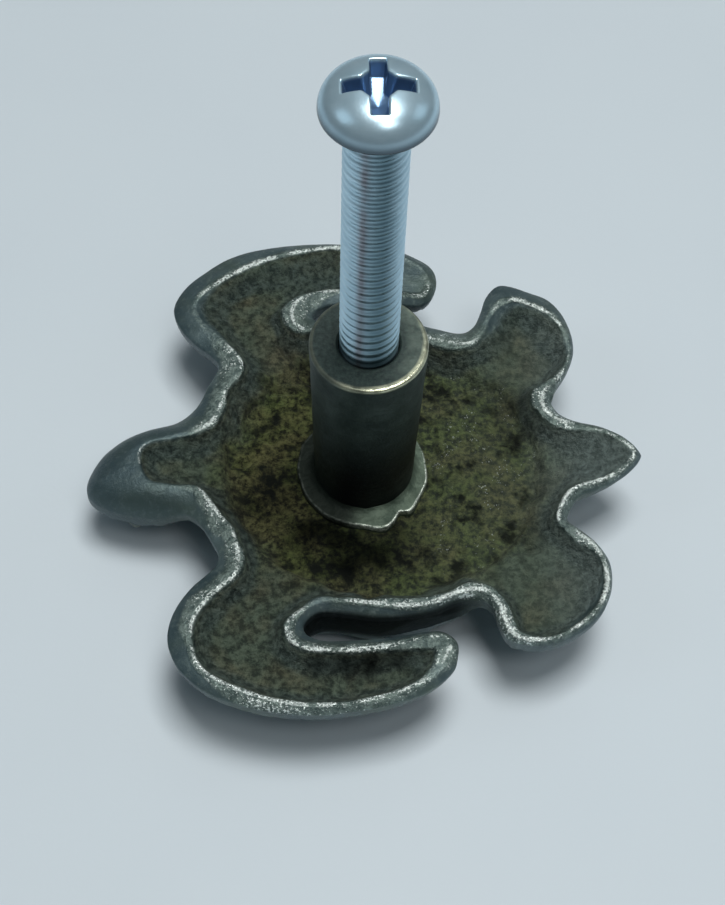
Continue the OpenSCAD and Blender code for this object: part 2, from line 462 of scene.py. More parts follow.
def braze_material():
    """Green-grey filler metal, dull and flowed, with a thin bright lip that is mostly painted highlight,
    and painted shade on one side.
    """
    m = Material("braze_filler")
    lip, dark = m.attribute("lip"), m.attribute("dark")
    clouds = m.noise(1.2, 5, 0.6)
    grain = m.noise(0.3, 4, 0.65)
    color = m.mix(m.between(clouds, 0.3, 0.7), (0.055, 0.085, 0.062), (0.15, 0.20, 0.15))
    # Painted shade over one side of the puddle
    color = m.mix(dark, color, (0.014, 0.022, 0.016))
    # Painted highlight along the lip
    color = m.mix(m.times(lip, m.between(grain, 0.35, 0.6)), color, (0.66, 0.72, 0.64))
    roughness = m.mix(lip, shade(0.55), shade(0.28))
    return m.finish(color, roughness, 0.6, m.bump(grain, 0.08))


def zinc_material():
    """Bright blue-white zinc plate with faint clouds and fine scratches, with painted reflection stripes
    on the shank and painted shade in the recess and at the head's low edge.
    """
    m = Material("zinc_plate")
    clouds = m.noise(1.3, 4, 0.6)
    grain = m.noise(0.16, 3, 0.6)
    warm_reflection, dimmed, recess, low, shank = (m.attribute(n) for n in ("warm_reflection", "dimmed", "recess", "low", "shank"))
    color = m.mix(m.between(clouds, 0.3, 0.7), (0.48, 0.68, 0.80), (0.58, 0.78, 0.90))
    # Painted reflection: a warm reddish stripe down one side of the shank
    warm_stripe = m.times(warm_reflection, m.between(clouds, 0.25, 0.6, 0.3, 0.75))
    color = m.mix(warm_stripe, color, (0.24, 0.15, 0.16))
    # Painted reflection: a dark stripe down the shank's middle
    color = m.mix(m.times(dimmed, 0.84), color, (0.09, 0.17, 0.21))
    # Painted shade at the head's low edge
    color = m.mix(low, color, (0.10, 0.14, 0.17))
    # Painted shade in the cross recess
    color = m.mix(recess, color, (0.15, 0.26, 0.42))
    roughness = m.mix(shank, shade(0.27), shade(0.34))
    metallic = m.mix(shank, shade(0.65), shade(0.9))
    return m.finish(color, roughness, metallic, m.bump(grain, 0.004))


def table_material():
    """The pale blue-grey table top."""
    m = Material("pale_table")
    clouds = m.noise(30.0, 3, 0.5)
    grain = m.noise(0.5, 2, 0.5)
    color = m.mix(clouds, (0.60, 0.68, 0.74), (0.65, 0.73, 0.78))
    return m.finish(color, 0.6, 0.0, m.bump(grain, 0.01))


# ---- the turtle casting

# Plan outlines, going from the head along the far side to the tail and back along the near side.
# The crest is the outer line of the filed rim; the edge is the casting's widest outline.
CREST = [
    (-16.1, 0.0), (-15.7, 1.3), (-13.8, 1.9), (-12.2, 2.4), (-11.0, 3.3), (-10.4, 4.6), (-9.9, 6.2),
    (-9.0, 7.6), (-9.1, 8.7), (-10.3, 10.2), (-11.9, 11.9), (-12.5, 13.4), (-12.1, 14.6),
    (-10.6, 16.0), (-8.5, 17.4), (-5.8, 18.5), (-3.0, 19.1), (-0.5, 19.2), (2.0, 18.8), (4.0, 17.8),
    (5.1, 16.6), (5.4, 15.2), (4.8, 14.3), (3.0, 14.5), (0.5, 14.8), (-2.0, 14.8), (-4.0, 14.3),
    (-4.9, 13.2), (-4.7, 11.9), (-3.6, 11.3), (-1.5, 11.3), (1.5, 11.7), (4.0, 10.9), (5.5, 10.3),
    (7.0, 10.0), (8.2, 10.0), (8.9, 10.8), (9.6, 12.2), (10.6, 13.6), (11.9, 14.0), (13.0, 13.5),
    (14.2, 12.8), (15.1, 11.6), (15.6, 10.0), (15.6, 8.6), (15.1, 7.3), (14.2, 6.2), (13.4, 5.2),
    (13.3, 4.2), (14.0, 3.2), (15.5, 2.5), (17.5, 1.9), (19.0, 0.9), (19.5, 0.0),
    (19.0, -0.9), (17.8, -1.9), (16.4, -2.5), (14.7, -3.1), (13.9, -4.2), (13.6, -5.4),
    (14.5, -6.2), (15.6, -7.2), (16.3, -8.4), (16.5, -10.0), (16.2, -11.4), (15.2, -12.9),
    (13.8, -14.0), (12.3, -14.7), (10.8, -14.8), (9.6, -14.4), (9.0, -13.2), (8.7, -12.0),
    (8.0, -11.1), (7.0, -10.9), (5.6, -11.3), (4.2, -11.9), (2.6, -12.1), (0.5, -11.9),
    (-1.5, -11.6), (-3.3, -11.5), (-4.5, -12.2), (-5.4, -13.1), (-5.4, -14.2), (-4.4, -14.9),
    (-3.0, -15.1), (-1.0, -15.1), (1.0, -14.9), (3.0, -14.5), (4.8, -14.3), (5.4, -15.0),
    (5.0, -16.0), (4.4, -16.9), (3.2, -17.8), (1.5, -18.5), (-0.5, -19.0), (-3.0, -19.3),
    (-5.5, -19.1), (-8.0, -18.4), (-10.2, -17.4), (-11.6, -16.1), (-12.1, -14.6), (-12.1, -13.0),
    (-11.5, -11.7), (-10.4, -10.4), (-9.4, -9.5), (-9.1, -8.5), (-9.1, -7.4), (-9.5, -6.0),
    (-10.3, -4.8), (-11.1, -3.6), (-12.0, -2.5), (-13.8, -2.2), (-15.4, -1.7),
]
EDGE = [
    (-19.9, -0.9), (-19.5, 0.4), (-18.7, 1.6), (-17.3, 2.7), (-15.4, 3.5), (-13.6, 3.9), (-12.4, 4.5),
    (-11.7, 5.3), (-11.2, 6.6), (-10.5, 8.2), (-11.0, 9.2), (-12.3, 10.4), (-13.4, 11.8),
    (-14.0, 13.5), (-13.5, 15.1), (-12.2, 16.7), (-10.0, 18.4), (-7.6, 19.3), (-5.0, 19.7),
    (-2.5, 19.8), (0.0, 19.6), (2.5, 19.3), (4.6, 18.3), (5.8, 17.2), (6.0, 15.6), (5.4, 14.2),
    (4.4, 13.7), (2.5, 13.9), (0.0, 14.1), (-2.0, 13.9), (-3.2, 13.4), (-3.5, 12.7), (-2.8, 12.2),
    (-1.0, 12.3), (2.0, 12.4), (4.0, 12.0), (5.5, 11.5), (7.6, 11.0), (8.6, 11.7), (9.2, 13.0),
    (9.7, 14.4), (10.6, 15.5), (11.6, 15.5), (13.0, 14.9), (14.4, 14.2), (15.3, 12.9), (15.9, 11.0),
    (15.9, 9.1), (15.3, 7.5), (14.4, 6.1), (13.8, 5.2), (13.7, 4.6), (14.3, 3.6), (15.5, 3.0),
    (17.2, 2.5), (18.8, 1.6), (19.9, 0.3),
    (19.8, -0.4), (18.9, -1.4), (17.6, -2.3), (16.2, -2.9), (14.9, -3.3), (14.2, -4.3),
    (14.0, -5.2), (14.9, -6.0), (16.0, -7.1), (16.7, -8.5), (16.8, -10.0), (16.4, -11.6),
    (15.4, -13.1), (14.0, -14.2), (12.3, -14.9), (10.8, -15.0), (9.3, -14.5), (8.7, -13.2),
    (8.4, -12.1), (7.8, -11.4), (7.0, -11.2), (5.7, -11.5), (4.3, -12.1), (2.6, -12.4),
    (0.5, -12.5), (-1.5, -12.2), (-3.2, -12.1), (-4.1, -12.6), (-4.5, -13.3), (-4.2, -13.9),
    (-3.2, -14.3), (-1.5, -14.3), (1.0, -14.2), (3.0, -13.9), (4.8, -13.8), (5.8, -14.6),
    (5.8, -15.8), (5.4, -16.8), (3.8, -18.1), (1.8, -18.9), (-0.5, -19.4), (-3.0, -19.7),
    (-5.6, -19.6), (-8.4, -19.0), (-10.8, -18.0), (-12.6, -16.5), (-13.5, -14.8), (-13.6, -13.2),
    (-13.1, -11.6), (-12.1, -10.1), (-11.0, -9.0), (-10.4, -8.3), (-10.3, -7.4), (-10.8, -6.2),
    (-11.6, -4.9), (-12.8, -4.0), (-14.5, -3.8), (-16.5, -3.5), (-18.4, -2.9), (-19.6, -2.0),
]
# Where the rim's filed flat is wider than usual: (x, y, extra width, reach)
WIDE_RIM = [
    (13.3, 4.8, 0.7, 1.8), (14.6, 2.8, 0.5, 1.2), (6.8, 10.0, 0.5, 1.6), (3.0, -11.8, 0.4, 3.0),
    (9.4, -12.8, 0.45, 1.6), (14.8, -6.8, 0.35, 1.4), (3.6, -14.8, 0.5, 1.6), (-5.4, 12.6, 0.7, 1.6),
    (-9.2, -8.2, 0.25, 1.4), (-10.8, 3.6, 0.2, 1.6), (7.6, -11.0, 0.35, 1.4),
]
# Where filing marks reach out over the band: (x, y, extra width, reach)
WIDE_MARKS = [
    (-10.4, -5.2, 1.1, 2.4), (-9.2, -9.0, 1.0, 1.8), (-11.8, -12.2, 1.2, 2.0), (-10.2, 8.8, 1.3, 1.8),
    (-9.6, 6.0, 1.1, 1.8), (-10.8, 3.8, 0.9, 1.8), (-6.0, 13.2, 1.2, 1.8), (7.0, 10.6, 0.9, 1.8),
    (13.8, 5.0, 0.8, 2.0), (14.4, -5.4, 0.7, 1.8), (8.6, -12.4, 0.9, 1.8), (5.2, -15.6, 0.7, 1.6),
    (-3.8, 13.6, 1.2, 1.6), (-8.0, -18.4, 0.9, 3.0), (-2.0, -19.4, 1.0, 4.0), (-6.2, -13.6, 0.5, 1.4),
]
# Where the rim's bright line and marks, partly painted highlight, are dimmed: (x, y, reach)
DIMMED_RIM = [
    (-11.4, 11.2, 2.0), (-13.8, 2.0, 2.2), (9.0, 12.0, 2.2), (-14.2, -2.1, 2.2), (-12.6, 13.6, 1.4),
    (-3.6, -11.4, 1.4), (15.8, 9.6, 1.6), (4.6, -17.2, 1.4), (16.0, 2.2, 1.4), (0.5, 14.8, 1.8),
]

# Where the outside's smooth skin runs on over the wall: (x, y, how far, reach)
SKIN = [
    (9.6, 12.8, 0.9, 2.2), (-12.2, 13.0, 0.5, 2.4), (14.6, -12.4, 0.5, 2.0),
]

# Lines in the hollow's floor: (start, end, half width, height)
FLOOR_LINES = [
    ((-9.3, 9.6), (-7.4, 8.0), 0.3, 0.3), ((-7.4, 8.0), (-4.9, 7.5), 0.3, 0.3),
    ((-9.5, 9.0), (-7.6, 7.5), 0.22, -0.3), ((-7.6, 7.5), (-5.0, 7.1), 0.22, -0.3),
    ((-5.4, 10.2), (-3.4, 8.2), 0.3, -0.6), ((-6.2, 11.4), (-5.2, 10.0), 0.3, -0.4),
    ((8.6, -5.2), (11.2, -6.8), 0.3, -0.45), ((9.4, -7.4), (12.0, -7.0), 0.3, -0.4),
    ((7.6, 6.8), (9.8, 5.2), 0.35, -0.35), ((8.6, 3.6), (11.2, 2.8), 0.3, -0.3),
    ((5.6, 2.0), (9.8, -1.6), 0.4, 0.2), ((4.6, 4.6), (8.0, 2.6), 0.35, 0.2),
    ((-8.8, 3.4), (-6.2, 3.0), 0.3, -0.35), ((-9.6, 0.8), (-7.2, 1.4), 0.3, -0.3),
    ((-4.2, -11.2), (0.4, -10.4), 0.35, -0.3), ((0.4, -10.4), (6.0, -10.2), 0.3, -0.25),
]

# Painted shade: dark spots on the hollow, among them the shade in front of the post and under the near
# slot's crest: (x, y, strength, reach)
SHADE_SPOTS = [
    (-0.6, -6.6, 1.0, 2.6), (-3.6, -5.4, 0.9, 2.2), (2.6, -6.0, 0.8, 2.0), (-6.0, -1.5, 0.5, 2.6),
    (-8.6, -3.0, 0.4, 2.0), (0.0, 4.6, 0.4, 2.0), (-3.6, -16.0, 0.7, 0.9), (-1.8, -16.1, 0.8, 0.9),
    (0.0, -16.0, 0.8, 0.9), (1.8, -15.8, 0.7, 0.8), (11.0, 2.6, 0.4, 1.4), (10.8, 5.4, 0.5, 1.4),
    (11.6, -5.6, 0.5, 1.2), (-4.0, 9.4, 0.6, 1.0),
]

SHELL_AT = np.array([1.4, 0.0])
SHELL_REACH = np.array([13.6, 12.3])
RIM_WIDTH = 0.26
MARKS_WIDTH = 0.15
WALL_WIDTH = 1.5
BOWL_DEPTH = 2.4
POCKET_DEPTH = 1.45
BAND_DROP = 0.5
HEAD_DROP = 2.6
SHELL_DEPTH = 6.88
LINE_WIDTH = 0.24
EYE_AT = np.array([-16.6, 2.4, -4.5])
PLAN_REACH = 21.0
PLAN_STEP = 0.1
CAST_REACH = 20.6
CAST_STEP = 0.13


def spots(xy, rows):
    """Sum of soft round spots, each (x, y, height, reach)."""
    total = np.zeros(len(xy))
    for x, y, height, reach in rows:
        total += height * np.exp(-((xy - (x, y)) ** 2).sum(1) / reach ** 2)
    return total


def shell_radius(xy):
    """Elliptical radius about the shell's middle: 1 on its widest outline."""
    return np.linalg.norm((xy - SHELL_AT) / SHELL_REACH, axis=1)


def near_head(xy):
    return ramp(-11.2, -15.6, xy[:, 0]) * ramp(7.8, 4.8, np.abs(xy[:, 1]))


def band_height(xy, crest, edge, drop, head):
    """Height of the band outside the crest, which falls away, gently at first, to the widest outline."""
    share = np.clip(crest / np.maximum(crest - edge, 0.05), 0, 1)
    rounded = 1 - np.sqrt(1 - 0.96 * share ** 2)
    height = -drop * (share ** 1.5 + (rounded - share ** 1.5) * head)
    height = height - 0.8 * np.maximum(edge, 0)
    return height + 0.02 * noise(flat_points(xy), 0.6, 8) * ramp(1.2, 0.0, crest)


def eased_pockets(xy):
    """Up to 1 where a pocket is shallower and its wall gentler: the far flippers and the tail's root."""
    x, y = xy.T
    front = ramp(14.6, 17.2, y) + ramp(-8.5, -11.0, x) * ramp(8.5, 11.0, y)
    rear = 0.6 * ramp(8.0, 10.0, x) * ramp(8.5, 10.5, y)
    tail = 0.7 * ramp(13.5, 15.5, x) * ramp(5.0, 3.5, np.abs(y))
    return np.clip(front + rear + tail, 0, 1)


def hollow_shape(xy, inward, head, wander):
    """Height of the hollow's skin, and how far down its wall a point is, from 0 to 1.

    The wall drops to the bowl, or to a shallower pocket in each limb. inward is the distance
    inside the rim's inner line.
    """
    eased = eased_pockets(xy)
    bowl = ramp(0.87, 0.80, shell_radius(xy) + 0.02 * wander)
    tail = ramp(14.0, 19.5, xy[:, 0])
    depth = POCKET_DEPTH * (1 - 0.8 * tail) * (1 - 0.25 * head) * (1 - 0.3 * eased)
    depth = depth + (BOWL_DEPTH - depth) * bowl
    fall = np.clip(inward / ((WALL_WIDTH + 2.0 * eased) * (1 + 0.15 * wander)), 0, 1)
    points = flat_points(xy)
    rough = 0.07 * layered_noise(points, 1.7, 2, 11) + 0.05 * layered_noise(points, 0.6, 2, 17)
    rough = rough - 0.16 * ramp(0.4, 0.75, noise(points, 0.8, 29)) * bowl
    height = -depth * (1 - (1 - fall) ** 2.4) + rough * (0.4 + 0.6 * bowl) * ramp(0.0, 0.5, fall)
    return height + floor_marks(xy) * ramp(0.3, 0.8, fall), fall


def solid_tip(xy, wander):
    """1 on the far front flipper's tip, which has no pocket."""
    x, y = xy.T
    tip = ramp(0.6, 2.6, x + 0.35 * (y - 16.5) + 0.4 * wander)
    return tip * ramp(12.8, 13.6, y) * ramp(7.5, 6.5, x)


def casting_fields(plan):
    """Grids of the casting's top surface and outline, and the masks that its finish follows."""
    xy = plan.xy
    crest = loop_distance(smooth_loop(CREST, 5), xy)
    edge = loop_distance(smooth_loop(EDGE, 5), xy)
    wander = noise(flat_points(xy), 1.1, 3)
    head = near_head(xy)
    rim = (RIM_WIDTH + spots(xy, WIDE_RIM)) * (1 - 0.55 * head) * (1 + 0.25 * wander)
    drop = BAND_DROP + (HEAD_DROP - BAND_DROP) * head
    band = band_height(xy, crest, edge, drop, head)
    hollow, fall = hollow_shape(xy, -crest - rim, head, wander)
    filed = 0.03 * noise(flat_points(xy), 0.5, 7) - 0.02
    top = np.where(crest > 0, band, np.where(crest > -rim, filed, hollow))
    tip = solid_tip(xy, wander)
    top = np.where(crest < 0, top * (1 - tip) - 0.1 * tip, top)

    # Masks for the finish: the bright line and the marks, partly painted highlight, are weaker where the
    # rim is dimmed
    dimmed = np.clip(spots(xy, [(x, y, 1.0, reach) for x, y, reach in DIMMED_RIM]), 0, 1)
    dimmed = np.maximum(dimmed, tip * ramp(15.0, 15.8, xy[:, 1]))
    skin = spots(xy, SKIN) + 3.0 * tip
    inner = -np.minimum(rim, LINE_WIDTH)
    line = ramp(inner - 0.12, inner + 0.02, crest) * ramp(0.10, 0.0, crest)
    beyond = (MARKS_WIDTH + spots(xy, WIDE_MARKS)) * (1 + 0.3 * wander)
    marks = ramp(-rim - 0.12, -rim + 0.02, crest) * ramp(beyond + 0.1, 0.3 * beyond, crest)
    fields = {
        "crest": crest,
        "edge": edge,
        "drop": drop,
        "line": line * (1 - 0.8 * dimmed),
        "marks": marks * (1 - 0.7 * dimmed) * (1 - 0.8 * head),
        "hollow": ramp(-rim + 0.02 - 0.4 * skin, -rim - 0.2 - 1.5 * skin, crest),
        "wall": ramp(0.0, 0.25, fall) * ramp(1.0, 0.55, fall),
        "bowl": ramp(0.98, 0.72, shell_radius(xy) + 0.05 * wander),
        # Painted shade spots
        "shade_spots": np.clip(spots(xy, SHADE_SPOTS) * (1 + 0.4 * wander), 0, 1),
    }
    fields = {name: plan.grid(values) for name, values in fields.items()}
    fields["top"] = softened(plan.grid(top))
    slopes = np.gradient(fields["top"], plan.step)
    fields["steep"] = np.sqrt(1 + slopes[0] ** 2 + slopes[1] ** 2)
    return fields


def ridge(xy, start, end, width):
    """1 on a straight line from start to end, fading out to either side of it."""
    start, end = np.array(start), np.array(end)
    span = end - start
    share = np.clip((xy - start) @ span / (span @ span), 0, 1)
    away = np.linalg.norm(xy - start - share[:, None] * span, axis=1)
    return np.exp(-(away / width) ** 2)


def floor_marks(xy):
    """Flow ridges, steps and pits left in the hollow's floor by the casting."""
    total = np.zeros(len(xy))
    wavy = xy + 0.35 * np.stack([noise(flat_points(xy), 1.3, 51), noise(flat_points(xy), 1.3, 52)], 1)
    for start, end, width, height in FLOOR_LINES:
        total += height * ridge(wavy, start, end, width)
    return total


def in_near_slot(xy):
    """1 on the shell's side of the slot between it and the near front flipper."""
    x, y = xy.T
    return (ramp(-7.5, -4.2, x) * ramp(9.0, 5.5, x)
            * ramp(8.4, 11.4, -y) * ramp(13.7, 13.1, -y))


def limb_size(xy):
    """Edge radius and depth of the limbs' rounded undersides."""
    head = near_head(xy)
    tip = ramp(0.0, 6.0, xy[:, 0]) * ramp(12.5, 13.5, np.abs(xy[:, 1]))
    tip = tip * ramp(7.5, 6.5, xy[:, 0])
    tail = ramp(14.0, 19.5, xy[:, 0]) * ramp(4.0, 3.0, np.abs(xy[:, 1]))
    slot = in_near_slot(xy)
    radius = 2.2 + 1.2 * head - 0.9 * slot
    depth = 3.0 - 0.3 * head - 0.9 * tip - 1.6 * tail + 2.5 * slot
    return radius, depth


def casting_value(plan, fields):
    """A field that is negative in the casting's metal and passes through 0 on its skin."""
    flat_middle = 0.28

    def value(points):
        xy, z = points[:, :2], points[:, 2]
        edge = plan.read(fields["edge"], xy)
        top = plan.read(fields["top"], xy)
        steep = plan.read(fields["steep"], xy)
        drop = plan.read(fields["drop"], xy)
        below = np.maximum(0, -drop - z)
        radius, depth = limb_size(xy)
        limb = (np.hypot(np.maximum(0, 1 + edge / radius), below / depth) - 1) * 2.2
        out = np.maximum(0, (shell_radius(xy) - flat_middle) / (1 - flat_middle))
        dome = (np.hypot(out, np.maximum(0, -BAND_DROP - z) / (SHELL_DEPTH - BAND_DROP)) - 1) * 6
        dome = np.maximum(dome, edge)
        solid = blend_min(limb, dome, 0.9)
        return blend_max(solid, (z - top) / steep, 0.08)

    return value


def shell_seeds():
    """Middles of the shell's plates: a row down its back, a row each side and a border."""
    seeds = [(-8.4 + 4.7 * i, 0.0) for i in range(5)]
    seeds += [(-6.0 + 4.9 * i, side * 6.0) for i in range(4) for side in (-1, 1)]
    for i in range(24):
        turn = 2 * math.pi * (i + 0.5) / 24
        seeds.append((SHELL_AT[0] + 12.1 * math.cos(turn), 11.0 * math.sin(turn)))
    return np.array(seeds)


def limb_seeds():
    """Middles of the scales on the head and the flippers, in loose rows."""
    random = np.random.RandomState(5)
    rows = []
    for i in range(-13, 14):
        for j in range(-13, 14):
            rows.append((1.6 * i + 0.8 * (j % 2), 1.5 * j))
    return np.array(rows) + random.uniform(-0.35, 0.35, (len(rows), 2))


def plate_gap(xy, seeds):
    """How far a plan point is from the line between its two nearest seeds."""
    first = np.full(len(xy), np.inf)
    second = first.copy()
    for seed in seeds:
        away = np.linalg.norm(xy - seed, axis=1)
        second = np.minimum(second, np.maximum(first, away))
        first = np.minimum(first, away)
    return second - first


def front_relief(points, facing_down):
    """How far the domed front's plates, scales, eyes and mouth stand in or out."""
    xy, z = points[:, :2], points[:, 2]
    radius = shell_radius(xy)
    on_shell = ramp(0.99, 0.95, radius) * ramp(-0.9, -1.6, z)
    on_limb = ramp(1.0, 1.05, radius) * ramp(-1.0, -1.8, z)
    plates = plate_gap(xy, shell_seeds())
    scales = plate_gap(xy, limb_seeds())
    relief = -0.28 * on_shell * ramp(0.55, 0.1, plates)
    relief = relief + 0.12 * on_shell * ramp(0.3, 3.0, plates)
    relief = relief - 0.14 * on_limb * ramp(0.4, 0.05, scales)
    # The step where the shell's border stands over the limbs
    relief = relief - 0.25 * np.exp(-((radius - 1.0) / 0.02) ** 2) * ramp(-1.0, -2.0, z)
    for side in (-1, 1):
        away = np.linalg.norm(points - EYE_AT * (1, side, 1), axis=1)
        relief = relief + 0.35 * ramp(0.85, 0.35, away) - 0.2 * np.exp(-((away - 1.0) / 0.15) ** 2)
    mouth = ramp(-17.0, -17.8, xy[:, 0]) * np.exp(-((z + 3.35) / 0.12) ** 2)
    return (relief - 0.2 * mouth) * facing_down


def casting_masks(plan, fields, points, normal, worn):
    """The numbers that the casting's material reads at each point, by name."""
    xy, z = points[:, :2], points[:, 2]
    read = {name: plan.read(fields[name], xy) for name in
            ("crest", "line", "marks", "hollow", "wall", "bowl", "shade_spots")}
    upper = ramp(-0.1, 0.2, normal[:, 2])
    slot = in_near_slot(xy)
    # Painted shade: the slot's deep walls beside the near front flipper, turned near-black
    slot_depth_shade = slot * ramp(-0.5, -1.3, z) * ramp(0.0, 0.4, read["crest"])
    slot_wall_shade = 0.9 * slot * ramp(-0.25, -0.6, z) * ramp(-5.6, -4.0, z) * (read["crest"] > 0)
    return {
        "line": read["line"] * upper * ramp(-0.35, -0.12, z),
        "marks": read["marks"] * upper,
        "hollow": read["hollow"] * ramp(-0.05, 0.05, normal[:, 2]),
        "wall": read["wall"],
        "worn": worn,
        "bowl": read["bowl"],
        # dark is painted shade: the slot's walls and the shade spots
        "dark": np.maximum(slot_depth_shade, np.maximum(read["shade_spots"] * upper, slot_wall_shade)),
    }


def make_casting(rim_z):
    plan = Plan(PLAN_REACH, PLAN_STEP)
    fields = casting_fields(plan)
    value = casting_value(plan, fields)
    margin = 0.5
    low = (-CAST_REACH, -CAST_REACH, -SHELL_DEPTH - margin)
    high = (CAST_REACH, CAST_REACH, margin)
    points, quads = surface_net(value, low, high, CAST_STEP)
    points = settle(value, points, quads, CAST_STEP)
    slope = slope_of(value, points)
    normal = slope / (np.linalg.norm(slope, axis=1)[:, None] + 1e-9)
    facing_down = ramp(-0.15, -0.55, normal[:, 2])
    relief = front_relief(points, facing_down)
    wavy = 0.03 * layered_noise(points, 1.8, 2, 41) * (1 - plan.read(fields["hollow"], points[:, :2]))
    points = points + normal * (relief + wavy)[:, None]
    obj = new_mesh("turtle_cast", points + (0, 0, rim_z), quads, "knob", cast_material())
    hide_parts("turtle_casting")
    worn = facing_down * ramp(0.02, 0.12, relief)
    for name, values in casting_masks(plan, fields, points, normal, worn).items():
        paint(obj, name, values)


# ---- post, collar and screw

PITCH = 0.7
BORE_R = 2.0
BORE_DEPTH = 14.0
BORE_MOUTH = 0.14
BORE_GROOVE = 0.2
END_BEVEL = 0.22
POST_TAPER = 0.4
SCREW_LENGTH = 25.0
THREAD_R = 1.94
THREAD_DEPTH = 0.085
TIP_BEVEL = 0.55
TIP_SLOPE = 1.54
HEAD_STEP = 0.07
CROWN_LOSS = 0.06    # how much the rounding lowers the head's crown
TABLE_GAP = 0.02


def thread_shape(phase, flat=0.1):
    """Thread height from 0 in the groove to 1 on the crest, once for each turn."""
    away = np.abs((phase % 1) - 0.5) * 2
    return ramp(flat, 1 - flat, 1 - away)


def post_rows(foot_z, foot_r, end_r, length):
    """Rows of (radius, height) for the post's side, its end face, the bore's wall and its floor."""
    side = []
    for h in np.linspace(0, length - END_BEVEL, 110):
        side.append((foot_r + (end_r - foot_r) * h / length, foot_z + h))
    face = []
    for t in np.linspace(0.15, 1, 6) * math.pi / 2:
        face.append((end_r - END_BEVEL * (1 - math.cos(t)), -END_BEVEL * (1 - math.sin(t))))
    face += [(r, 0.0) for r in np.linspace(end_r - END_BEVEL - 0.05, BORE_R + BORE_MOUTH + 0.06, 14)]
    face += [(BORE_R + BORE_MOUTH * t, -BORE_MOUTH * (1 - t)) for t in np.linspace(1, 0, 8)]
    wall = [(BORE_R, -BORE_MOUTH - h) for h in np.linspace(0.02, BORE_DEPTH - BORE_MOUTH - 0.02, 230)]
    floor = [(BORE_R * t, -BORE_DEPTH) for t in (0.97, 0.5, 0.02)]
    return side, face, wall, floor


def make_post(rim_z):
    low, high = node_box("threaded_post")
    end_r = high[0]
    side, face, wall, floor = post_rows(low[2], end_r - POST_TAPER, end_r, high[2] - low[2])
    rows = side + face + wall + floor
    around = 128
    turn = 2 * np.pi * np.arange(around) / around
    r, z = np.array(rows).T
    radius = np.repeat(r[:, None], around, 1)
    height = np.repeat(z[:, None], around, 1)
    row = np.arange(len(rows))
    in_bore = (row >= len(side + face)) & (row < len(side + face + wall))
    groove = BORE_GROOVE * (1 - thread_shape(height / PITCH - turn / (2 * np.pi)))
    radius = radius + groove * in_bore[:, None] * ramp(0.0, 0.5, -BORE_MOUTH - height)
    points = ring_points(radius, turn, height)
    on_side = np.repeat(row < len(side), around)
    dents = 0.02 * layered_noise(points, 1.2, 3, 61) + 0.012 * noise(points * (1, 1, 9), 2.5, 66)
    outward = points * (1, 1, 0) / np.maximum(np.hypot(points[:, 0], points[:, 1]), 0.1)[:, None]
    points = points + np.where(on_side, dents, 0)[:, None] * outward
    last = (len(rows) - 1) * around
    caps = [list(range(around))[::-1], list(range(last, last + around))]
    faces = list(ring_faces(len(rows), around)) + caps
    obj = new_mesh("post_turned", points, faces, "knob", post_material())
    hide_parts("threaded_post")
    paint_post(obj, points, end_r, rim_z)


def paint_post(obj, points, end_r, rim_z):
    """The post's worn edge, its end face with a side painted paler as if lit, and painted shade
    darkening its foot, lighter on its lit side.
    """
    z = points[:, 2]
    rho = np.hypot(points[:, 0], points[:, 1])
    angle = np.arctan2(points[:, 1], points[:, 0])
    worn = ramp(0.1, 0.9, np.cos(angle + 0.85))
    edge = ramp(end_r - 0.3 - 0.15 * worn, end_r - 0.16 - 0.15 * worn, rho)
    edge = edge * ramp(-0.34, -0.14, z)
    # Painted light: the end face's paler side
    pale = ramp(-0.3, 0.9, np.cos(angle - 0.35))
    # The foot's painted shade is lighter on this lit side
    lit_side = ramp(0.5, 1.0, np.cos(angle - 3.3))
    paint(obj, "edge", edge * (0.12 + 0.88 * worn))
    paint(obj, "face", ramp(-0.1, -0.01, z) * ramp(BORE_R + 0.1, BORE_R + 0.3, rho))
    paint(obj, "pale", pale * ramp(BORE_R + 0.2, end_r - 0.6, rho))
    # Painted shade on the post's foot
    paint(obj, "foot", ramp(-3.5, rim_z + 1.5, z) * (1 - 0.5 * lit_side))


# Corners and a bite in the puddle's outline: (angle in degrees, extra radius, spread in degrees)
PUDDLE_CORNERS = [(-74, 0.45, 12), (-47, 0.25, 7), (-56, -0.28, 5), (15, -0.15, 30), (150, 0.2, 25)]


